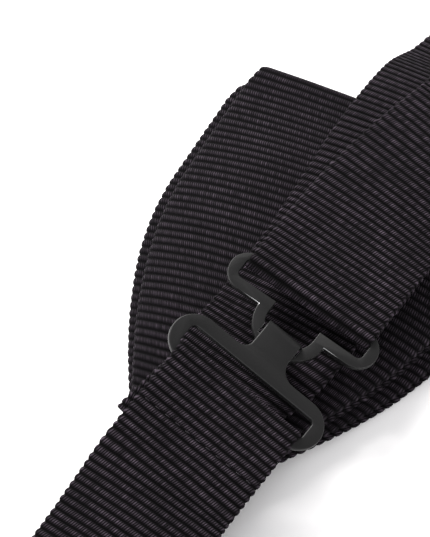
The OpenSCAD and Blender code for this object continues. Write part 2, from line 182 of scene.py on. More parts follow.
class Net:
    """Adds nodes to one tree, of a material or of Geometry Nodes."""

    def __init__(self, tree: bpy.types.NodeTree) -> None:
        """Starts on an empty tree."""
        self.tree = tree
        tree.nodes.clear()

    def add(
        self,
        kind: str,
        settings: dict[str, object] | None = None,
        inputs: dict[str | int, object] | None = None,
        output: str | int = 0,
    ) -> Value:
        """Adds any node.

        Args:
            kind: The node's type name.
            settings: Properties to set before the sockets; "stops" holds a ramp's stops.
            inputs: Values or links for the sockets, by name or number.
            output: The output that the result stands for.

        Returns:
            The chosen output.
        """
        node = self.tree.nodes.new(kind)
        for key, value in (settings or {}).items():
            if key == "stops":
                self._stops(node, value)
            else:
                setattr(node, key, value)
        for key, value in (inputs or {}).items():
            if isinstance(value, Value):
                self.tree.links.new(value.socket, node.inputs[key])
            else:
                node.inputs[key].default_value = value
        if len(node.outputs) == 0:
            return Value(self, node.inputs[0])
        return Value(self, node.outputs[output])

    @staticmethod
    def _stops(node: bpy.types.Node, stops: Sequence[tuple[float, Colour]]) -> None:
        """Sets the stops of a colour ramp."""
        elements = node.color_ramp.elements
        while len(elements) < len(stops):
            elements.new(0.5)
        for element, (place, colour) in zip(elements, stops):
            element.position = place
            element.color = (*colour, 1)

    def mix(self, factor: Value, low: object, high: object) -> Value:
        """Mixes two colours, each a link or a colour."""
        a, b = (c if isinstance(c, Value) else (*c, 1) for c in (low, high))
        return self.add("ShaderNodeMix", {"data_type": "RGBA"}, {0: factor, 6: a, 7: b}, 2)

    def noise(self, vector: Value, scale: float, detail: float = 2) -> Value:
        """Noise from 0 to 1 at places given by a vector."""
        return self.add("ShaderNodeTexNoise", None,
                        {"Vector": vector, "Scale": scale, "Detail": detail}, 0)

    def split(self, vector: Value) -> tuple[Value, Value, Value]:
        """The three parts of a vector."""
        first = self.add("ShaderNodeSeparateXYZ", None, {0: vector})
        node = first.socket.node
        return first, Value(self, node.outputs[1]), Value(self, node.outputs[2])

    def joined(self, x: object, y: object, z: object = 0.0) -> Value:
        """A vector from three parts."""
        return self.add("ShaderNodeCombineXYZ", None, {0: x, 1: y, 2: z})

    def place(self) -> Value:
        """Places in the object's own coordinates."""
        return self.add("ShaderNodeTexCoord", None, None, "Object")

    def stored(self, name: str, output: str) -> Value:
        """What an attribute of the piece's mesh holds."""
        return self.add("ShaderNodeAttribute", {"attribute_name": name}, None, output)

    def bump(self, height: Value, depth: float, strength: float) -> Value:
        """A normal that follows a height, for a depth in millimetres."""
        return self.add("ShaderNodeBump", None, {
            "Height": height, "Distance": depth * MM, "Strength": strength})


def new_material(name: str, base: dict[str, object]) -> tuple[bpy.types.Material, Net, Value]:
    """Starts a material.

    Args:
        name: The material's name.
        base: The Principled sockets that are the same all over the surface.

    Returns:
        The material, its net and its Principled node's output.
    """
    material = bpy.data.materials.new(name)
    material.use_nodes = True
    net = Net(material.node_tree)
    shader = net.add("ShaderNodeBsdfPrincipled", None, base)
    net.add("ShaderNodeOutputMaterial", None, {"Surface": shader})
    return material, net, shader


def feed(net: Net, shader: Value, values: dict[str, Value]) -> None:
    """Links values to the shader node's sockets."""
    for socket, value in values.items():
        net.tree.links.new(value.socket, shader.socket.node.inputs[socket])


# -------------------------------------------------------------------- finishes


@dataclass(frozen=True)
class RibbonFinish:
    """Grosgrain: thick cords across the ribbon, covered by fine warp threads, with painted shade
    in the valleys between the ribs and painted highlight on the crests.
    """

    name: str
    rib_pitch: float = 1.1
    bead_pitch: float = 0.3
    # Painted shade: the near-black colour laid into the valleys between the ribs.
    valley_shade: Colour = (0.0001, 0.0001, 0.0001)
    body: Colour = (0.0056, 0.0042, 0.0060)
    # Painted highlight: the bright colour laid onto the rib crests and warp beads.
    crest_highlight: Colour = (0.1050, 0.0820, 0.1080)
    roughness: float = 0.7
    bead_depth: float = 0.16
    slant: float = 1.1

    def material(self) -> bpy.types.Material:
        """Builds the woven material, which reads the piece's own cloth coordinates and paints
        shade into the rib valleys and highlight onto the crests and warp beads.
        """
        material, net, shader = new_material(self.name, {
            "Sheen Weight": 0.01, "Sheen Roughness": 0.4,
            "Sheen Tint": (0.75, 0.68, 0.78, 1), "Specular IOR Level": 0.07,
        })
        cloth = net.stored(CLOTH, "Vector")
        rib = net.stored(RIB, "Fac")
        along, across, _ = net.split(cloth)
        phase = along / (self.rib_pitch * MM)
        row = phase.whole()
        drift = net.noise(cloth, 260)
        lane = across / (self.bead_pitch * MM) + row * 0.5 + phase.fraction() * self.slant
        lane = lane + drift * 0.6
        bead = lane.hump(1.4)
        fibre = net.noise(net.joined(along * 0.35, across), 9000, 3)
        patch = net.noise(cloth, 110, 4)
        thread = net.noise(net.joined(row * 3.7, lane.whole() * 1.3), 1.0, 0)
        # Painted shade: the rib and bead share darkens the valleys between the ribs and beads.
        lift = (rib ** 1.5) * (0.12 + bead * 0.88)
        shaded_tone = net.mix(lift, self.valley_shade, self.body)
        # Painted highlight: the crests and beads are lifted towards the bright colour, broken up
        # by patchy and per-rib noise.
        light = (lift ** 2.6) * (0.1 + patch * 0.9) * ((thread ** 1.6) * 2.2)
        height = lift * 0.85 + fibre * 0.25 + thread * 0.3
        feed(net, shader, {
            "Base Color": net.mix(light, shaded_tone, self.crest_highlight),
            "Roughness": self.roughness + 0.14 * (1 - lift) + fibre * 0.08,
            "Normal": net.bump(height, self.bead_depth, 1.0)})
        return material


@dataclass(frozen=True)
class CanvasFinish:
    """Plain woven stiffening canvas."""

    name: str
    thread_pitch: float = 0.5
    low: Colour = (0.02, 0.019, 0.02)
    high: Colour = (0.075, 0.07, 0.072)

    def material(self) -> bpy.types.Material:
        """Builds a plain weave that reads the object's own coordinates."""
        material, net, shader = new_material(self.name, {"Specular IOR Level": 0.2})
        place = net.place()
        x, y, _ = net.split(place)
        pitch = self.thread_pitch * MM
        weft = (x / pitch).hump(2)
        warp = (y / pitch + (x / pitch).whole() * 0.5).hump(2)
        weave = weft * 0.5 + warp * 0.5
        fuzz = net.noise(place, 5000, 3)
        feed(net, shader, {
            "Base Color": net.mix(weave * 0.8 + fuzz * 0.2, self.low, self.high),
            "Roughness": 0.8 + fuzz * 0.15,
            "Normal": net.bump(weave + fuzz * 0.3, 0.08, 0.8)})
        return material


@dataclass(frozen=True)
class ThreadFinish:
    """Twisted polyester sewing thread."""

    name: str
    twist_pitch: float = 0.3
    low: Colour = (0.0026, 0.0021, 0.0028)
    high: Colour = (0.0180, 0.0148, 0.0190)

    def material(self) -> bpy.types.Material:
        """Builds slanting plies that read the object's own coordinates."""
        material, net, shader = new_material(self.name, {"Specular IOR Level": 0.12})
        place = net.place()
        x, y, z = net.split(place)
        ply = ((x + y + z * 1.4) / (self.twist_pitch * MM)).hump(1.8)
        fuzz = net.noise(place, 9000, 2)
        feed(net, shader, {
            "Base Color": net.mix(ply * 0.8 + fuzz * 0.2, self.low, self.high),
            "Roughness": 0.6 - ply * 0.2,
            "Normal": net.bump(ply, 0.05, 0.8)})
        return material


@dataclass(frozen=True)
class PlateFinish:
    """Satin black coating on stamped steel, rubbed bright along its edges."""

    name: str
    coat: Colour = (0.0045, 0.0045, 0.0047)
    coat_high: Colour = (0.0095, 0.0095, 0.0098)
    bright: Colour = (0.50, 0.50, 0.51)
    roughness: float = 0.38

    def material(self) -> bpy.types.Material:
        """Builds the coating and its rubbed edges, which follow the piece's wear attribute."""
        material, net, shader = new_material(self.name, {"Specular IOR Level": 0.25})
        place = net.place()
        wear = net.stored(WEAR, "Fac")
        grain = net.noise(place, 4200, 3)
        cloud = net.noise(place, 240, 3)
        rub = wear * (0.35 + cloud * 0.9)
        mask = net.add("ShaderNodeMapRange", {"interpolation_type": "SMOOTHSTEP"}, {
            "Value": rub, "From Min": 0.30, "From Max": 0.62})
        coat = net.mix(cloud * 0.6 + grain * 0.4, self.coat, self.coat_high)
        feed(net, shader, {
            "Base Color": net.mix(mask, coat, self.bright),
            "Metallic": 0.1 + mask * 0.8,
            "Roughness": self.roughness + grain * 0.12 - mask * 0.06,
            "Normal": net.bump(grain, 0.012, 0.5)})
        return material


@dataclass(frozen=True)
class FloorFinish:
    """Matt white table."""

    name: str
    low: Colour = (0.90, 0.89, 0.90)
    high: Colour = (0.94, 0.935, 0.94)

    def material(self) -> bpy.types.Material:
        """Builds a nearly even white."""
        material, net, shader = new_material(self.name, {"Specular IOR Level": 0.15})
        place = net.place()
        feed(net, shader, {
            "Base Color": net.mix(net.noise(place, 6), self.low, self.high),
            "Roughness": 0.8 + net.noise(place, 30) * 0.1})
        return material


# ----------------------------------------------------------------- small tools


def turned(angles: Sequence[float]) -> Matrix:
    """The matrix of a turn about X, then Y, then Z, in degrees."""
    return Euler([math.radians(a) for a in angles], "XYZ").to_matrix().to_4x4()


def smooth(t: np.ndarray | float) -> np.ndarray | float:
    """An even step from 0 to 1."""
    c = np.clip(t, 0, 1)
    return c * c * (3 - 2 * c)


def unit(v: np.ndarray) -> np.ndarray:
    """Rows of length one."""
    return v / np.maximum(np.linalg.norm(v, axis=-1, keepdims=True), 1e-9)


def distances(points: np.ndarray) -> np.ndarray:
    """How far along a line each of its points is."""
    steps = np.linalg.norm(np.diff(points, axis=0), axis=1)
    return np.concatenate([[0], np.cumsum(steps)])


def eased(rows: np.ndarray, passes: int) -> np.ndarray:
    """Rows averaged with their neighbours again and again, with both ends kept."""
    out = rows.copy()
    for _ in range(passes):
        out[1:-1] = (out[:-2] + 2 * out[1:-1] + out[2:]) / 4
    return out


def make_object(name: str, data: bpy.types.ID) -> bpy.types.Object:
    """Links a mesh, a light or a camera into the scene as an object at the origin."""
    made = bpy.data.objects.new(name, data)
    bpy.context.scene.collection.objects.link(made)
    return made


def baked(source: bpy.types.Object, name: str) -> bpy.types.Object:
    """Turns an object with modifiers into a plain one.

    Args:
        source: The object, which is removed.
        name: The name of the new piece.

    Returns:
        A new object that holds the evaluated mesh.
    """
    bpy.context.view_layer.update()
    graph = bpy.context.evaluated_depsgraph_get()
    mesh = bpy.data.meshes.new_from_object(source.evaluated_get(graph), depsgraph=graph)
    bpy.data.objects.remove(source)
    made = make_object(name, mesh)
    made.data.name = name
    return made


def with_tree(
    source: bpy.types.Object, tree: bpy.types.NodeTree, inputs: dict[str, object], name: str
) -> bpy.types.Object:
    """Runs a Geometry Nodes tree on an object and returns the finished piece.

    Args:
        source: The object that the tree starts from.
        tree: The tree.
        inputs: Values of the tree's named inputs.
        name: The name of the finished piece.

    Returns:
        The finished piece.
    """
    modifier = source.modifiers.new(tree.name, "NODES")
    modifier.node_group = tree
    sockets = {s.name: s.identifier for s in tree.interface.items_tree if s.in_out == "INPUT"}
    for key, value in inputs.items():
        modifier[sockets[key]] = value
    return baked(source, name)


def tree_with(
    name: str, sockets: Sequence[tuple[str, str]]
) -> tuple[bpy.types.NodeTree, Net, list[Value]]:
    """Starts a Geometry Nodes tree.

    Args:
        name: The tree's name.
        sockets: The name and the short type of each input after the geometry.

    Returns:
        The tree, its net, and the geometry followed by each named input.
    """
    tree = bpy.data.node_groups.new(name, "GeometryNodeTree")
    face = tree.interface
    face.new_socket("Geometry", in_out="INPUT", socket_type="NodeSocketGeometry")
    for label, kind in sockets:
        face.new_socket(label, in_out="INPUT", socket_type=f"NodeSocket{kind}")
    face.new_socket("Geometry", in_out="OUTPUT", socket_type="NodeSocketGeometry")
    net = Net(tree)
    outputs = net.add("NodeGroupInput").socket.node.outputs
    return tree, net, [Value(net, outputs[n]) for n in ("Geometry", *(s[0] for s in sockets))]


def close_tree(net: Net, geometry: Value, finish: Value) -> None:
    """Ends a tree in Realize Instances and Set Material."""
    real = net.add("GeometryNodeRealizeInstances", None, {0: geometry})
    dressed = net.add("GeometryNodeSetMaterial", None, {"Geometry": real, "Material": finish})
    net.add("NodeGroupOutput", None, {0: dressed})


def rib_tree() -> bpy.types.NodeTree:
    """Builds the tree that raises the ribs of a ribbon along its own length."""
    tree, net, (start, pitch, height, uneven, finish) = tree_with("ribbon_ribs", [
        ("Rib Pitch", "Float"), ("Rib Height", "Float"), ("Unevenness", "Float"),
        ("Finish", "Material")])
    cloth = net.add("GeometryNodeInputNamedAttribute", {"data_type": "FLOAT_VECTOR"},
                    {"Name": CLOTH})
    along, _, _ = net.split(cloth)
    phase = along / pitch
    position = net.add("GeometryNodeInputPosition")
    waver = (net.noise(position, 160) - 0.5) * uneven
    profile = (phase + waver).hump(2.2)
    rank = net.add("FunctionNodeRandomValue", {"data_type": "FLOAT"},
                   {"ID": phase.whole(), "Seed": 5}, 1)
    rise = height * profile * (1 - uneven * rank)
    normal = net.add("GeometryNodeInputNormal")
    offset = net.add("ShaderNodeVectorMath", {"operation": "SCALE"},
                     {0: normal, "Scale": rise})
    moved = net.add("GeometryNodeSetPosition", None, {"Geometry": start, "Offset": offset})
    # The rib share is kept on the mesh for the ribbon material, which paints shade into the
    # valleys and highlight onto the crests with it.
    stored = net.add("GeometryNodeStoreNamedAttribute",
                     {"data_type": "FLOAT", "domain": "POINT"},
                     {"Geometry": moved, "Name": RIB, "Value": profile})
    close_tree(net, stored, finish)
    return tree


def stitch_tree() -> bpy.types.NodeTree:
    """Builds the tree that puts one rounded stitch on each vertex of a row."""
    tree, net, (start, length, thread, finish) = tree_with("stitch_row", [
        ("Stitch Length", "Float"), ("Thread", "Float"), ("Finish", "Material")])
    bead = net.add("GeometryNodeMeshUVSphere", None, {"Segments": 8, "Rings": 6, "Radius": 0.5})
    size = net.joined(thread, length, thread)
    wobble = net.add("FunctionNodeRandomValue", {"data_type": "FLOAT_VECTOR"},
                     {0: (-0.05, -0.05, -0.12), 1: (0.05, 0.05, 0.12), "Seed": 3}, 0)
    placed = net.add("GeometryNodeInstanceOnPoints", None, {
        "Points": start, "Instance": bead, "Rotation": wobble, "Scale": size})
    close_tree(net, placed, finish)
    return tree


@dataclass(frozen=True)
class Seam:
    """Rows of short threads: stitches half sunk between ribs, or the fray of a cut end."""

    node: str | None
    name: str
    first: tuple[float, float, float]
    step: tuple[float, float, float]
    count: int
    rows: int = 1
    row_step: float = 1.6
    length: float = 0.9
    thread: float = 0.22

    def build(
        self, tree: bpy.types.NodeTree, place: Matrix, material: bpy.types.Material
    ) -> bpy.types.Object:
        """Lays the stitches out in a local frame and moves them into place.

        Args:
            tree: The stitch tree.
            place: From the local frame to the tie's, in millimetres.
            material: The thread's material.

        Returns:
            The piece.
        """
        points = [
            (Vector(self.first) + Vector(self.step) * k + Vector((self.row_step, 0, 0)) * row) * MM
            for row in range(self.rows) for k in range(self.count)]
        mesh = bpy.data.meshes.new(self.name + "_row")
        mesh.from_pydata([p[:] for p in points], [], [])
        piece = with_tree(make_object(self.name + "_row", mesh), tree, {
            "Stitch Length": self.length * MM, "Thread": self.thread * MM,
            "Finish": material}, self.name)
        move = place.copy()
        move.translation = place.translation * MM
        piece.data.transform(move)
        piece.data.shade_smooth()
        return piece


# ------------------------------------------------------------------ the stack


@dataclass(frozen=True)
class Sizes:
    """The frame's driving sizes in millimetres, and the levels that follow from them."""

    front_half_l: float = 66
    back_half_l: float = 68
    front_half_w: float = 22.4
    back_half_w: float = 20.4
    pinch_half_w: float = 7.1
    leaf_t: float = 0.8
    front_crown: float = 2
    back_crown: float = 3.5
    crown_power: float = 2.3
    wing_corner: float = 1.2
    fade_l: float = 20
    end_rise: float = 0.25
    lining_t: float = 0.3
    knot_l: float = 17
    wrap_t: float = 0.9
    wrap_inner_half: float = 8.2
    wrap_corner: float = 1.2
    wrap_back_corner: float = 1.9
    thread_t: float = 0.35
    seam_y: float = 4.6
    band_w: float = 18
    knot_band_w: float = 13
    band_t: float = 0.6
    left_reach: float = 100
    right_reach: float = 116
    turn_r: float = 4.9
    hook_tail: float = 11.5
    plate_t: float = 0.8
    hook_bar: float = 1.7
    hook_slot: float = 3.2
    tongue_l: float = 7.6
    curl_gap: float = 1.9
    eye_bar: float = 1.2
    eye_slot: float = 2.9
    eye_rim: float = 1.55
    loop_r: float = 4.85
    slide_x: float = 89
    slide_bar: float = 1.6
    slide_leg: float = 6
    layer_gap: float = 0.05
    gap: float = 0.3
    seat: float = 0.08
    slack: float = 1.2
    play: float = 1.6
    turn_y: float = -13
    eye_turn: tuple[float, float, float] = (15, -2, -5.5)
    hook_turn: tuple[float, float, float] = (22, -4, -7.5)

    def crowned(self, share: np.ndarray | float) -> np.ndarray | float:
        """Share of a leaf's rise at a share of its half height."""
        return 1 - np.abs(share) ** self.crown_power

    @property
    def knot_levels(self) -> tuple[float, float, float, float]:
        """Heights of the four leaves inside the knot, front to back."""
        pinch = self.wrap_t + 3 * self.layer_gap + self.lining_t + self.thread_t
        front_low = pinch + self.leaf_t / 2
        front_high = front_low + self.leaf_t + 2 * self.layer_gap + self.lining_t
        back_low = front_high + self.leaf_t + self.layer_gap
        back_high = back_low + self.leaf_t + 2 * self.layer_gap + self.lining_t
        return front_low, front_high, back_low, back_high

    @property
    def wing_levels(self) -> tuple[float, float, float, float]:
        """Heights of the edges of the four leaves at the wings, front to back."""
        rise = self.front_crown * self.crowned(self.back_half_w / self.front_half_w)
        back_low = 3 * self.leaf_t + self.gap / 2 + rise
        back_high = back_low + self.leaf_t + self.lining_t + 2 * self.layer_gap
        return self.leaf_t / 2, 2 * self.leaf_t, back_low, back_high

    @property
    def run_z(self) -> float:
        """Height of the under run on the back of the bow."""
        top = self.wing_levels[3] + self.back_crown + self.leaf_t / 2
        return top + 0.1 + self.band_t / 2

    @property
    def band_knot_z(self) -> float:
        """Height of the band inside the knot."""
        top = self.knot_levels[3] + self.leaf_t / 2
        return top + self.thread_t + 2 * self.layer_gap + self.band_t / 2

    @property
    def knot_top(self) -> float:
        """Height of the back of the knot."""
        lining = self.band_knot_z + self.band_t / 2 + 2 * self.layer_gap + self.lining_t
        return lining + self.wrap_t

    @property
    def table_z(self) -> float:
        """Height of the band where it lies on the table."""
        return self.band_t / 2 + 0.03

    @property
    def return_z(self) -> float:
        """Height of the band where it comes back over itself."""
        return self.table_z + 2 * self.turn_r

    @property
    def fold_drop(self) -> float:
        """From the middle of a plate to the middle of the ribbon folded round it."""
        return self.plate_t / 2 + self.seat + self.band_t / 2

    @property
    def slide_z(self) -> float:
        """Height of the adjuster's frame."""
        above = self.gap + self.band_t + self.seat + self.plate_t / 2
        return self.return_z + self.band_t / 2 + above

    @property
    def eye_place(self) -> Matrix:
        """From the eye's own frame to the tie's, in millimetres."""
        return Matrix.Translation((30.3, -6.05, self.run_z + 3.9)) @ turned(self.eye_turn)

    @property
    def hook_place(self) -> Matrix:
        """From the hook's own frame to the tie's: its curl holds the eye's loop."""
        frame_h = self.eye_bar + self.eye_slot + self.eye_rim
        edge = self.eye_bar / 2 - frame_h
        loop_in_eye = Vector((edge - self.loop_r + self.eye_rim / 2, 0, 0))
        tip = self.hook_bar / 2 + self.hook_slot + self.tongue_l
        curl_r = self.curl_gap / 2 + self.plate_t
        loop_in_hook = Vector((tip - self.plate_t - self.slack - self.eye_rim / 2, 0,
                               self.plate_t / 2 - curl_r))
        turn = turned(self.hook_turn)
        return Matrix.Translation(self.eye_place @ loop_in_eye - turn @ loop_in_hook) @ turn


# ---------------------------------------------------------------------- paths


@dataclass
class Path:
    """Points down the middle of a ribbon, with the direction across it and its camber."""

    points: np.ndarray
    sides: np.ndarray
    camber: np.ndarray

    @classmethod
    def through(cls, stations: Sequence[Station], lowest: float = -1e9) -> "Path":
        """Draws a smooth curve through stations.

        Args:
            stations: x, y, z, sideways tilt in degrees, and how far the edges droop.
            lowest: The least height of the curve.

        Returns:
            The path.
        """
        steps = 24
        p = np.array(stations, float)
        n = len(p)
        rows = []
        for i in range(n - 1):
            a, b, c, d = p[max(0, i - 1)], p[i], p[i + 1], p[min(n - 1, i + 2)]
            t = np.arange(steps + (i == n - 2))[:, None] / steps
            rows.append(0.5 * (2 * b + (c - a) * t + (2 * a - 5 * b + 4 * c - d) * t * t
                               + (3 * b - a - 3 * c + d) * t ** 3))
        line = np.concatenate(rows)
        line[:, 2] = np.maximum(line[:, 2], lowest)
        tilt = np.radians(line[:, 3])
        sides = np.stack([np.zeros(len(line)), np.cos(tilt), np.sin(tilt)], 1)
        return cls(line[:, :3], sides, line[:, 4])

    @classmethod
    def arc(cls, centre: Sequence[float], radius: float, start: float, end: float) -> "Path":
        """A bend about a line along Y, from one angle to another in degrees."""
        a = np.radians(np.linspace(start, end, ARC_POINTS))
        points = np.stack([centre[0] + radius * np.cos(a), np.full(ARC_POINTS, float(centre[1])),
                           centre[2] + radius * np.sin(a)], 1)
        return cls(points, np.tile([0.0, 1.0, 0.0], (ARC_POINTS, 1)), np.zeros(ARC_POINTS))

    def placed(self, matrix: Matrix) -> "Path":
        """The path moved by a matrix."""
        m = np.array(matrix, float)
        return Path(self.points @ m[:3, :3].T + m[:3, 3], self.sides @ m[:3, :3].T, self.camber)

    def flipped(self) -> "Path":
        """The path mirrored in X, as a fold whose legs run the other way."""
        return Path(self.points * [-1, 1, 1], self.sides * [-1, 1, 1], self.camber)

    def backwards(self) -> "Path":
        """The path from its other end."""
        return Path(self.points[::-1], self.sides[::-1], self.camber[::-1])

    def __add__(self, other: "Path") -> "Path":
        """This path followed by another."""
        return Path(np.concatenate([self.points, other.points]),
                    np.concatenate([self.sides, other.sides]),
                    np.concatenate([self.camber, other.camber]))

    def even(self, step: float) -> tuple["Path", np.ndarray]:
        """Spaces the points evenly and softens the route away from its tight folds.

        Args:
            step: The distance wanted between points.

        Returns:
            The new path, and the distance of each of its points from the start.
        """
        gaps = np.linalg.norm(np.diff(self.points, axis=0), axis=1)
        keep = np.concatenate([[True], gaps > 1e-4])
        points, sides, camber = self.points[keep], self.sides[keep], self.camber[keep]
        far = distances(points)
        at = np.linspace(0, far[-1], max(2, round(far[-1] / step) + 1))
        columns = [np.interp(at, far, c) for c in (*points.T, *sides.T, camber)]
        rows = np.stack(columns, 1)
        soft = eased(rows, SMOOTHING)
        moved = np.linalg.norm(soft[:, :3] - rows[:, :3], axis=1)
        fold_share = eased(smooth(moved / FOLD_SHIFT), SMOOTHING // 4)
        fold_share = np.clip(3 * fold_share, 0, 1)[:, None]
        points = rows[:, :3] * fold_share + soft[:, :3] * (1 - fold_share)
        return Path(points, unit(soft[:, 3:6]), soft[:, 6]), at


def fold(
    s: Sizes, bar: float, upper: Sequence[Station], lower: Sequence[Station]
) -> Path:
    """A ribbon folded round a bar at the origin, with legs that run to +X.

    Args:
        s: The sizes.
        bar: The bar's width.
        upper: Stations of the upper leg, which end at the bar.
        lower: Stations of the lower leg, which start at the bar.

    Returns:
        The path along the upper leg, round the bar and along the lower leg.
    """
    inner = s.plate_t / 2 + s.seat
    centre = -bar / 2 + 0.6 * math.sqrt(inner ** 2 - s.plate_t ** 2 / 4)
    bend = Path.arc((centre, 0, 0), s.fold_drop, 90, 270)
    return Path.through(upper) + bend + Path.through(lower)


# ----------------------------------------------------------------- ribbon skins


def skin(
    name: str, rings: np.ndarray, cloth: np.ndarray, closed: bool
) -> bpy.types.Object:
    """Makes a mesh over rings of points.

    Args:
        name: The object's name.
        rings: Points in millimetres, as ring by point by 3.
        cloth: Distance along and across the ribbon for each of them, in millimetres.
        closed: Whether the last ring joins the first.

    Returns:
        The object, with the cloth attribute.
    """
    n, m, _ = rings.shape
    i = np.arange(n if closed else n - 1)[:, None]
    j = np.arange(m)[None, :]
    a, b = i * m + j, i * m + (j + 1) % m
    c, d = ((i + 1) % n) * m + (j + 1) % m, ((i + 1) % n) * m + j
    faces = np.stack([a, b, c, d], -1).reshape(-1, 4).tolist()
    if not closed:
        faces += [list(range(m))[::-1], [(n - 1) * m + k for k in range(m)]]
    mesh = bpy.data.meshes.new(name)
    mesh.from_pydata((rings.reshape(-1, 3) * MM).tolist(), [], faces)
    mesh.validate()
    attribute = mesh.attributes.new(CLOTH, "FLOAT_VECTOR", "POINT")
    values = np.zeros((n * m, 3), np.float32)
    values[:, :2] = cloth.reshape(-1, 2) * MM
    attribute.data.foreach_set("vector", values.ravel())
    shell = bmesh.new()
    shell.from_mesh(mesh)
    bmesh.ops.recalc_face_normals(shell, faces=shell.faces)
    shell.to_mesh(mesh)
    shell.free()
    mesh.shade_smooth()
    return make_object(name, mesh)


def strip_profile(width: float, thickness: float, count: int) -> tuple[np.ndarray, np.ndarray]:
    """The outline of a flat strip with round edges.

    Args:
        width: Its width.
        thickness: Its thickness.
        count: Points along the upper side; the lower side has half as many.

    Returns:
        Places across and heights, going once round.
    """
    r = thickness / 2
    top = np.linspace(-width / 2 + r, width / 2 - r, count)
    low = np.linspace(width / 2 - r, -width / 2 + r, count // 2)
    bend = np.radians([60, 30, 0, -30, -60])
    y = np.concatenate([top, width / 2 - r + r * np.cos(bend), low,
                        -width / 2 + r - r * np.cos(bend)])
    z = np.concatenate([np.full(count, r), r * np.sin(bend), np.full(count // 2, -r),
                        -r * np.sin(bend)])
    return y, z


@dataclass
class RibbonMaker:
    """Makes ribbed ribbon pieces with one rib tree."""

    tree: bpy.types.NodeTree
    steps_per_rib: int = 8
    rib_height: float = 0.24
    unevenness: float = 0.22

    def ring_places(self, length: float, pitch: float) -> tuple[np.ndarray, np.ndarray]:
        """Places round a closed ribbon, and the same on cloth stretched to whole ribs."""
        ribs = round(length / pitch)
        at = np.linspace(0, length, ribs * self.steps_per_rib + 1)[:-1]
        return at, at * (ribs * pitch / length)

    def ribbed(
        self, source: bpy.types.Object, finish: RibbonFinish, material: bpy.types.Material,
        name: str,
    ) -> bpy.types.Object:
        """Raises the ribs on a smooth ribbon and returns the finished piece."""
        return with_tree(source, self.tree, {
            "Rib Pitch": finish.rib_pitch * MM,
            "Rib Height": self.rib_height * MM,
            "Unevenness": self.unevenness, "Finish": material}, name)

    def strip(
        self, name: str, path: Path, width: float, thickness: float, finish: RibbonFinish,
        material: bpy.types.Material,
        squeeze: Callable[[np.ndarray], np.ndarray] | None = None,
    ) -> tuple[bpy.types.Object, float]:
        """Sweeps a ribbon along a path.

        Args:
            name: The piece's name.
            path: The path of its middle.
            width: Its width.
            thickness: Its thickness over the ribs.
            finish: Its finish, which gives the rib pitch.
            material: Its material.
            squeeze: Width of the ribbon for each place in X, where it is not even.

        Returns:
            The piece, and the ribbon's length.
        """
        even, at = path.even(finish.rib_pitch / self.steps_per_rib)
        y, z = strip_profile(width, thickness - 2 * RIB_SINK * self.rib_height, STRIP_POINTS)
        ahead = unit(np.gradient(even.points, axis=0))
        sides = unit(even.sides - (even.sides * ahead).sum(1, keepdims=True) * ahead)
        up = np.cross(ahead, sides)
        share = y / (width / 2)
        lift = -even.camber[:, None] * (share ** 2)[None, :]
        wide = np.full(len(at), width) if squeeze is None else squeeze(even.points[:, 0])
        place = share[None, :] * wide[:, None] / 2
        rings = (even.points[:, None, :] + sides[:, None, :] * place[:, :, None]
                 + up[:, None, :] * z[None, :, None])
        rings[:, :, 2] += lift
        cloth = np.stack(np.broadcast_arrays(at[:, None], y[None, :]), -1)
        source = skin(name + "_base", rings, cloth, False)
        return self.ribbed(source, finish, material, name), float(at[-1])


# ---------------------------------------------------------------------- the bow


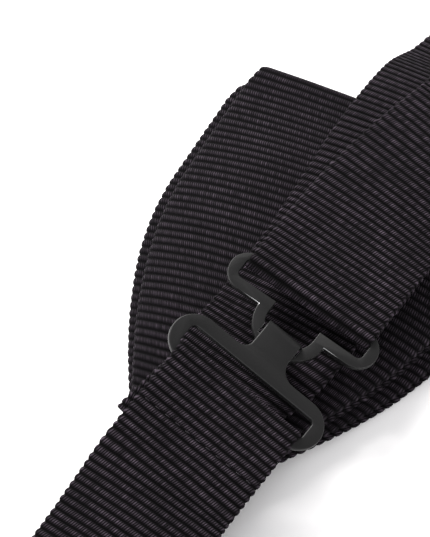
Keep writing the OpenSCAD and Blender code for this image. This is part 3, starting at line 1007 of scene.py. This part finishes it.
@dataclass
class BowLoop:
    """One flattened loop of folded grosgrain that turns over at each wing end.

    It widens from widen_lead inside the knot's edge over widen_l, its leaves part over part_l,
    and they stop turn_lead short of the turn.
    """

    name: str
    half_l: float
    half_w: float
    knot: tuple[float, float]
    wing: tuple[float, float]
    crowns: tuple[float, float]
    sizes: Sizes
    widen_lead: float = 0.7
    widen_l: float = 40
    part_l: float = 22
    turn_lead: float = 2.5
    leaf_points: int = 130
    turn_points: int = 17

    def half_width(self, x: np.ndarray) -> np.ndarray:
        """Half height of the loop at a place along it."""
        s = self.sizes
        outside = np.abs(x) - s.knot_l / 2
        open_share = np.clip((outside + self.widen_lead) / self.widen_l, 0, 1)
        return s.pinch_half_w + (self.half_w - s.pinch_half_w) * np.sin(open_share * math.pi / 2)

    def _half_loop(self) -> np.ndarray:
        """Rows of x, z, half width, crown, normal x and normal z over the right half."""
        s = self.sizes
        r = (self.wing[1] - self.wing[0]) / 2
        reach = self.half_l - s.leaf_t / 2 - r
        middle = (self.wing[1] + self.wing[0]) / 2
        x = np.linspace(0, reach - self.turn_lead, self.leaf_points)
        opened = smooth((x - s.knot_l / 2) / self.part_l)
        fade = 1 - (1 - s.end_rise) * smooth((x - self.half_l) / s.fade_l + 1)
        leaves = [
            np.stack([x, self.knot[k] + (self.wing[k] - self.knot[k]) * opened,
                      self.half_width(x), self.crowns[k] * opened * fade, 0 * x, 0 * x + sign],
                     1)
            for k, sign in ((0, -1), (1, 1))
        ]
        a = np.radians(np.linspace(-90, 90, self.turn_points))
        share = (a + math.pi / 2) / math.pi
        crown = (self.crowns[0] + (self.crowns[1] - self.crowns[0]) * share) * s.end_rise
        half = self.half_width(np.full(self.turn_points, reach))
        half = half - s.wing_corner * (1 / 3 + np.cos(a) ** 2 / 2)
        turn = np.stack([reach + r * np.cos(a), middle + r * np.sin(a), half, crown,
                         np.cos(a), np.sin(a)], 1)
        return np.concatenate([leaves[0], turn, leaves[1][::-1]])

    def build(
        self, maker: RibbonMaker, finish: RibbonFinish, material: bpy.types.Material
    ) -> tuple[bpy.types.Object, float]:
        """Builds the ribbed loop.

        Returns:
            The piece, and the length of ribbon in it.
        """
        s = self.sizes
        right = self._half_loop()
        left = right[::-1] * [-1, 1, 1, 1, -1, 1]
        loop = np.concatenate([right, left[1:]])
        line = loop[:, :2] + np.stack([0 * loop[:, 0], loop[:, 3]], 1)
        far = distances(line)
        at, on_cloth = maker.ring_places(far[-1], finish.rib_pitch)
        rows = np.stack([np.interp(at, far, c) for c in loop.T], 1)
        x, z, half, crown, nx, nz = (c[:, None] for c in rows.T)
        thin = 0.08
        y_unit, h = strip_profile(2, thin, LOOP_POINTS)
        share = (y_unit / np.abs(y_unit).max())[None, :]
        h = (h / (thin / 2) * (s.leaf_t / 2 - RIB_SINK * maker.rib_height))[None, :]
        full = self.half_width(x)
        rise = crown * s.crowned(share * half / full)
        rings = np.stack([x + nx * h, share * half + 0 * x, z + rise + nz * h], -1)
        cloth = np.stack(np.broadcast_arrays(on_cloth[:, None], share * self.half_w), -1)
        source = skin(self.name + "_base", rings, cloth, True)
        return maker.ribbed(source, finish, material, self.name), float(far[-1])


@dataclass
class Knot:
    """The folded strip round the middle of the bow, with soft creases across it."""

    sizes: Sizes
    crease: float = 0.16
    creases: int = 3

    def build(
        self, maker: RibbonMaker, finish: RibbonFinish, material: bpy.types.Material
    ) -> tuple[bpy.types.Object, float]:
        """Builds the wrap as a strip that goes once round the stack."""
        s = self.sizes
        low_r, high_r = (r + s.wrap_t / 2 for r in (s.wrap_corner, s.wrap_back_corner))
        side = s.wrap_inner_half + s.wrap_t / 2
        bottom, top = s.wrap_t / 2, s.knot_top - s.wrap_t / 2
        corners = [(1, 1, high_r, 90), (1, -1, low_r, 0), (-1, -1, low_r, -90),
                   (-1, 1, high_r, -180)]
        line = [(s.seam_y, top)]
        for y_sign, z_sign, r, start in corners:
            y = y_sign * (side - r)
            z = top - r if z_sign > 0 else bottom + r
            for a in np.radians(np.linspace(start, start - 90, CORNER_POINTS)):
                line.append((y + r * math.cos(a), z + r * math.sin(a)))
        line.append((s.seam_y, top))
        ring = np.array(line)
        far = distances(ring)
        at, on_cloth = maker.ring_places(far[-1], finish.rib_pitch)
        y, z = (np.interp(at, far, c) for c in ring.T)
        ahead = unit(np.stack([np.roll(y, -1) - np.roll(y, 1), np.roll(z, -1) - np.roll(z, 1)], 1))
        out = np.stack([-ahead[:, 1], ahead[:, 0]], 1)
        thickness = s.wrap_t - 2 * RIB_SINK * maker.rib_height
        across, h = strip_profile(s.knot_l, thickness, LOOP_POINTS)
        wave = np.cos(across / s.knot_l * self.creases * 2 * math.pi)
        level = (h + (self.crease * wave * (h > 0) - self.crease * (h > 0)))[None, :]
        rings = np.stack([across[None, :] + 0 * y[:, None], y[:, None] + out[:, :1] * level,
                          z[:, None] + out[:, 1:] * level], -1)
        cloth = np.stack(np.broadcast_arrays(on_cloth[:, None], across[None, :]), -1)
        source = skin("knot_base", rings, cloth, True)
        return maker.ribbed(source, finish, material, "knot"), float(far[-1])


# ----------------------------------------------------------------- the neckband


@dataclass
class Neckband:
    """The one long ribbon, in the four stretches that move differently.

    It is free of the knot's squeeze from free_gap outside it, and full width spread_l later.
    """

    sizes: Sizes
    free_gap: float = 1
    spread_l: float = 13

    def under(self) -> Path:
        """From the left turn, through the knot, to the right turn."""
        s = self.sizes
        k = s.band_knot_z
        return Path.through([
            (-s.left_reach, 0, s.table_z, 0, 0), (-95, 0, s.table_z, 0, 0), (-86, 0, 2, 0, 0),
            (-75, 0, 6.4, 0, 0), (-62, 0, s.run_z, 0, 0), (-26, 0, s.run_z + 0.1, 0, 0),
            (-15, -0.2, k + 1.2, 0, 0), (-9, 0, k, 0, 0), (-3, 0, k, 0, 0), (3, 0, k, 0, 0),
            (9, 0, k, 0, 0), (15, -0.8, k + 1.3, 3, 0), (26, -3.2, s.run_z + 0.3, 5, 0.3),
            (42, -3.8, s.run_z, 6, 0.9), (60, -3.6, s.run_z, 4, 0.9), (73, -4, 6.6, 0, 0.3),
            (81, -4.6, 2.2, 0, 0), (87, -5.8, s.table_z + 0.6, 0, 0),
            (94, -9, s.table_z + 0.3, 0, 0), (101, -12.3, s.table_z + 0.05, 0, 0),
            (106, s.turn_y, s.table_z, 0, 0), (111, s.turn_y, s.table_z, 0, 0),
            (s.right_reach, s.turn_y, s.table_z, 0, 0),
        ], s.table_z)

    def under_width(self, x: np.ndarray) -> np.ndarray:
        """Width of the under run, which the knot squeezes."""
        s = self.sizes
        spread = smooth((np.abs(x) - s.knot_l / 2 - self.free_gap) / self.spread_l)
        return s.knot_band_w + (s.band_w - s.knot_band_w) * spread

    def turn(self, x: float, y: float, side: int) -> Path:
        """The half turn that carries the band from the table back over itself."""
        s = self.sizes
        arc = Path.arc((0, y, s.table_z + s.turn_r), s.turn_r, -90, 90)
        arc.points[:, 0] = x + side * (2 * s.layer_gap + arc.points[:, 0])
        return arc

    def hook_side(self) -> Path:
        """From the left turn to the hook, round its bar and back as a short tail."""
        s = self.sizes
        end = s.hook_tail + 0.5
        drop = s.fold_drop
        inner = drop - s.band_t - s.seat
        leg = s.hook_place @ Vector((-end - 2 * s.gap, 0, drop))
        out = s.hook_place @ Vector((-end - 4, 0, drop))
        run = Path.through([
            (-s.left_reach, 0, s.return_z, 0, 0), (-84, 0, s.return_z + 0.2, 0, 0),
            (-56, 0, s.run_z + 2, 3, 0.2), (-30, -1.2, s.run_z + 2.9, 12, 0.5),
            (-14, -2.4, s.knot_top + 3.8, 18, 0.6), (*out, 21.5, 0.3), (*leg, 21.5, 0),
        ])
        round_bar = fold(
            s, s.hook_bar, [(end, 0, drop, 0, 0), (6, 0, drop, 0, 0), (0, 0, drop, 0, 0)],
            [(0, 0, -drop, 0, 0), (1.2, 0, -drop, 0, 0), (4.6, 0.3, inner, 0, 0),
             (s.hook_tail, 1.0, inner, 0, 0)])
        turn = self.turn(-s.left_reach, 0, -1)
        return turn + run + round_bar.flipped().placed(s.hook_place)

    def eye_lower(self) -> Path:
        """From the right turn along the lower run to the eye."""
        s = self.sizes
        tail = s.eye_place @ Vector((14, 0, -s.fold_drop - 1.5))
        back = [
            (*tail, 14, 0), (58, -8.9, s.return_z + 0.5, 9, 0.3), (70, -11.8, s.return_z, 2, 0),
            (79, s.turn_y, s.return_z, 0, 0), (94, s.turn_y, s.return_z, 0, 0),
            (s.right_reach, s.turn_y, s.return_z, 0, 0)]
        return self.turn(s.right_reach, s.turn_y, 1) + Path.through(back[::-1])

    def eye_upper(self) -> Path:
        """From under the eye, round its bar, along the upper run and round the slide's bar."""
        s = self.sizes
        drop = s.fold_drop
        at_eye = fold(
            s, s.eye_bar, [(3, 0, drop - 0.05, 0, 0), (1.2, 0, drop, 0, 0), (0, 0, drop, 0, 0)],
            [(0, 0, -drop, 0, 0), (2, 0, -drop - 0.05, 0, 0), (8, 0, -drop - 0.7, 0, 0),
             (14, 0, -drop - 1.5, 0, 0)])
        leg = s.eye_place @ Vector((3 + s.gap, 0, drop - 0.1))
        run = Path.through([
            (*leg, 15, 0), (46, -7.2, s.run_z + 3.5, 14, 0.4), (57, -9.2, s.run_z + 3.3, 11, 0.4),
            (66, -11.8, s.run_z + 3.3, 6, 0.3), (75, -13, s.slide_z, 1, 0.1),
            (s.slide_x - s.slide_leg - s.play, s.turn_y, s.slide_z + drop, 0, 0)])
        at_slide = fold(
            s, s.slide_bar,
            [(s.slide_leg, 0, drop, 0, 0), (3, 0, drop, 0, 0), (0, 0, drop, 0, 0)],
            [(0, 0, -drop, 0, 0), (3, 0, -drop, 0, 0), (s.slide_leg, 0, -drop, 0, 0)])
        slide = Matrix.Translation((s.slide_x, s.turn_y, s.slide_z))
        first = at_eye.backwards().placed(s.eye_place)
        return first + run + at_slide.flipped().placed(slide)


# --------------------------------------------------------------- clasp hardware


@dataclass
class Plate:
    """A stamped piece of the frame, copied with its edges eased.

    Points within merge of each other become one, faces within flat_angle become one, and edges
    sharper than edge_angle are bevelled. Sizes are in millimetres and angles in degrees.
    """

    node: str
    name: str
    bevel: float = 0.16
    broad_width: float = 0.15
    merge: float = 0.004
    flat_angle: float = 1.5
    edge_angle: float = 40
    wear_gain: float = 6

    def build(self, source: bpy.types.Object, material: bpy.types.Material) -> bpy.types.Object:
        """Copies a CAD node, eases its edges and marks where its coating rubs off.

        Args:
            source: The CAD node's object.
            material: The plate's material.

        Returns:
            The piece.
        """
        mesh = source.data.copy()
        shell = bmesh.new()
        shell.from_mesh(mesh)
        bmesh.ops.remove_doubles(shell, verts=shell.verts, dist=self.merge * MM)
        bmesh.ops.dissolve_limit(shell, angle_limit=math.radians(self.flat_angle),
                                 verts=shell.verts, edges=shell.edges)
        shell.to_mesh(mesh)
        shell.free()
        mesh.materials.clear()
        mesh.materials.append(material)
        mesh.shade_smooth()
        work = make_object(self.name + "_base", mesh)
        bevel = work.modifiers.new("eased", "BEVEL")
        bevel.width = self.bevel * MM
        bevel.segments = 3
        bevel.limit_method = "ANGLE"
        bevel.angle_limit = math.radians(self.edge_angle)
        bevel.harden_normals = True
        made = baked(work, self.name)
        self._mark_wear(made.data)
        return made

    def _mark_wear(self, mesh: bpy.types.Mesh) -> None:
        """Stores how much each vertex sticks out at an edge, from 0 to 1.

        Vertices of the broad faces get 0, so that only the eased edges wear.
        """
        wear = np.zeros(len(mesh.vertices), np.float32)
        broad: set[int] = set()
        for face in mesh.polygons:
            corners = [mesh.vertices[v].co for v in face.vertices]
            around = sum((p - q).length for p, q in zip(corners, corners[1:] + corners[:1]))
            if 2 * face.area / around > self.broad_width * MM:
                broad.update(face.vertices)
            for v in face.vertices:
                away = 1 - face.normal.dot(mesh.vertices[v].normal)
                wear[v] = max(wear[v], min(1.0, away * self.wear_gain))
        wear[list(broad)] = 0
        mesh.attributes.new(WEAR, "FLOAT", "POINT").data.foreach_set("value", wear)


# --------------------------------------------------------------------- studio


@dataclass(frozen=True)
class Studio:
    """The floor, the lights and the camera."""

    azimuth: float = -62.4
    elevation: float = 51.5
    distance: float = 0.5
    seen_height: float = 65.2
    aim_left: float = 6.67
    aim_up: float = 9.28
    clasp: tuple[float, float, float] = (20.8, -5.0, 13.4)
    floor_half: float = 1.5

    def axes(self) -> tuple[Vector, Vector, Vector]:
        """Right, up and back of the camera."""
        a, e = math.radians(self.azimuth), math.radians(self.elevation)
        back = Vector((math.sin(a) * math.cos(e), -math.cos(a) * math.cos(e), math.sin(e)))
        right = Vector((math.cos(a), math.sin(a), 0))
        return right, back.cross(right), back

    def camera(self) -> None:
        """Aims a long lens at a place beside the clasp."""
        right, up, back = self.axes()
        clasp = Vector(self.clasp) * MM
        target = clasp - right * self.aim_left * MM + up * self.aim_up * MM
        data = bpy.data.cameras.new("camera")
        data.sensor_width = 36
        data.lens = data.sensor_width * self.distance / (self.seen_height * MM)
        data.clip_start = 0.01
        made = make_object("camera", data)
        made.location = target + back * self.distance
        made.rotation_euler = Matrix((right, up, back)).transposed().to_euler()
        bpy.context.scene.camera = made

    def lamp(self, name: str, place: Vector, size: float, power: float, colour: Colour) -> None:
        """A square soft light that faces the tie."""
        data = bpy.data.lights.new(name, "AREA")
        data.size = size
        data.energy = power
        data.color = colour
        made = make_object(name, data)
        made.location = place
        made.rotation_euler = (-place).to_track_quat("-Z", "Y").to_euler()

    def light(self) -> None:
        """A large key light behind the left wing, a fill and an even sky."""
        self.lamp("key", Vector((0.42, 0.5, 0.6)), 0.4, 14, (1, 0.985, 0.97))
        self.lamp("fill", Vector((-0.6, -0.2, 0.6)), 0.5, 4, (0.98, 0.985, 1))
        world = bpy.data.worlds.new("sky")
        world.use_nodes = True
        net = Net(world.node_tree)
        sky = net.add("ShaderNodeBackground", None,
                      {"Color": (1, 0.99, 0.985, 1), "Strength": 0.7})
        net.add("ShaderNodeOutputWorld", None, {"Surface": sky})
        scene = bpy.context.scene
        scene.world = world
        scene.view_settings.view_transform = "Standard"

    def floor(self, material: bpy.types.Material) -> None:
        """A wide white table under the tie."""
        mesh = bpy.data.meshes.new("floor")
        h = self.floor_half
        mesh.from_pydata([(-h, -h, 0), (h, -h, 0), (h, h, 0), (-h, h, 0)], [], [(0, 1, 2, 3)])
        mesh.materials.append(material)
        make_object("floor", mesh)


# ----------------------------------------------------------------------- build


class BowTie:
    """Builds every visible piece of the tie around the frame."""

    def __init__(self, frame: dict) -> None:
        """Keeps the frame and makes the finishes."""
        self.frame = frame
        self.sizes = Sizes()
        self.maker = RibbonMaker(rib_tree())
        self.band_finish = RibbonFinish("band_grosgrain")
        # The bow's ribbon gets its own painted valley shade and painted crest highlight.
        self.bow_finish = RibbonFinish(
            "bow_grosgrain", rib_pitch=1.2, valley_shade=(0.0006, 0.0005, 0.0007),
            body=(0.0070, 0.0054, 0.0075), crest_highlight=(0.0700, 0.0550, 0.0720))
        self.band_material = self.band_finish.material()
        self.bow_material = self.bow_finish.material()
        self.thread_material = ThreadFinish("sewing_thread").material()
        self.canvas_material = CanvasFinish("interlining_canvas").material()
        self.plate_material = PlateFinish("black_plate").material()

    def dress(self, material: bpy.types.Material, *nodes: str) -> None:
        """Gives CAD nodes a material."""
        for node in nodes:
            mesh = self.frame["nodes"][node].data
            mesh.materials.clear()
            mesh.materials.append(material)

    def bows(self) -> None:
        """The two loops of the bow and the knot round them."""
        s = self.sizes
        knot, wing = s.knot_levels, s.wing_levels
        loops = [
            BowLoop("front_loop", s.front_half_l, s.front_half_w, knot[:2], wing[:2],
                    (0, s.front_crown), s),
            BowLoop("back_loop", s.back_half_l, s.back_half_w, knot[2:], wing[2:],
                    (s.front_crown + s.gap, s.back_crown), s),
        ]
        for loop, node in zip(loops, ("front_bow", "back_bow")):
            piece, length = loop.build(self.maker, self.bow_finish, self.bow_material)
            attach(piece, Body.BOW.value)
            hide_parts(node)
            2 * loop.half_w * MM
            LOG.info("%s: %.0f mm of ribbon", piece.name, length)
        piece, length = Knot(s).build(self.maker, self.band_finish, self.band_material)
        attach(piece, Body.BOW.value)
        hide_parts("knot_wrap")
        LOG.info("%s: %.0f mm of ribbon", piece.name, length)

    def neckband(self) -> None:
        """The ribbon's four stretches, of which the under run is attached to the bow."""
        s = self.sizes
        band = Neckband(s)
        under, length = self.strip("under_run", band.under(), band.under_width)
        self.finish_band(under, length, "laid", ["front_loop", "back_loop"], "neckband_under_run")
        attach(under, Body.BOW.value)
        hook_side, length = self.strip("hook_run", band.hook_side())
        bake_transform(hook_side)
        self.finish_band(hook_side, length, "folded", ["hook"], "neckband_left_turn",
                         "neckband_hook_run", "hook_band_fold")
        lower, length = self.strip("lower_run", band.eye_lower())
        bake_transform(lower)
        self.finish_band(lower, length, "folded", ["under_run"], "neckband_right_turn",
                         "neckband_lower_run")
        upper, length = self.strip("eye_run", band.eye_upper())
        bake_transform(upper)
        self.finish_band(upper, length, "folded", ["eye", "adjuster_slide"], "eye_band_fold",
                         "eye_band_upper_run", "adjuster_band_fold")

    def strip(
        self, name: str, path: Path,
        squeeze: Callable[[np.ndarray], np.ndarray] | None = None,
    ) -> tuple[bpy.types.Object, float]:
        """Sweeps one stretch of the neckband."""
        s = self.sizes
        return self.maker.strip(name, path, s.band_w, s.band_t, self.band_finish,
                                self.band_material, squeeze=squeeze)

    def finish_band(
        self, piece: bpy.types.Object, length: float, held: str, rests_on: list[str],
        *nodes: str,
    ) -> None:
        """Hides the frame's nodes that a stretch of neckband stands in for and logs its length."""
        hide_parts(*nodes)
        length * MM
        LOG.info("%s: %.0f mm of ribbon", piece.name, length)

    def clasp(self) -> None:
        """The hook, the eye and the adjuster's slide."""
        for plate, body in (
            (Plate("hook", "hook_plate"), Body.HOOK_END),
            (Plate("eye", "eye_plate"), Body.EYE_END),
            (Plate("adjuster_slide", "slide_frame"), Body.ADJUSTER),
        ):
            piece = plate.build(self.frame["nodes"][plate.node], self.plate_material)
            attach(piece, body.value)
            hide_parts(plate.node)
            LOG.info("%s: %d faces", piece.name, len(piece.data.polygons))

    def seams(self) -> None:
        """The stitches at the knot, the hook and the adjuster, and the fray of the raw tail."""
        s = self.sizes
        tree = stitch_tree()
        top = s.fold_drop + s.band_t / 2
        edge = s.band_w / 2 - 1.2
        count = 11
        pitch = 2 * edge / (count - 1)
        strand_gap = 0.3
        slide = Matrix.Translation((s.slide_x, s.turn_y, s.slide_z))
        seams = (
            (Seam("knot_stitches", "knot_seam", (2 - s.knot_l / 2, s.seam_y, s.knot_top + 0.02),
                  ((s.knot_l - 4) / 7, 0, 0), 8, length=1.5), Matrix.Identity(4), Body.BOW),
            (Seam("hook_stitches", "hook_seam", (-8, -edge, top - 0.12), (0, pitch, 0), count, 2),
             s.hook_place, Body.HOOK_END),
            (Seam("adjuster_stitches", "slide_seam", (-4.6, -edge, top + 0.02), (0, pitch, 0),
                  count), slide, Body.ADJUSTER),
            (Seam(None, "tail_fray", (-s.band_w / 2, s.hook_tail + 0.3, s.fold_drop - s.band_t),
                  (strand_gap, 0, 0), round(s.band_w / strand_gap) + 1, length=1.3, thread=0.13),
             s.hook_place @ turned((0, 0, 90)), Body.HOOK_END),
        )
        for seam, place, body in seams:
            piece = seam.build(tree, place, self.thread_material)
            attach(piece, body.value)
            if seam.node is not None:
                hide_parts(seam.node)

    def inner_pieces(self) -> None:
        """Materials of the pieces that stay as the frame has them."""
        self.dress(self.canvas_material, "front_bow_interlining", "back_bow_interlining",
                   "knot_interlining")
        self.dress(self.thread_material, "gathering_thread")


def main() -> None:
    """Builds the tie and its studio."""
    logging.basicConfig(level=logging.INFO, format="%(message)s")
    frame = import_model()
    tie = BowTie(frame)
    tie.bows()
    tie.neckband()
    tie.clasp()
    tie.seams()
    tie.inner_pieces()
    studio = Studio()
    studio.floor(FloorFinish("white_table").material())
    studio.light()
    studio.camera()


if __name__ == "__main__":
    main()
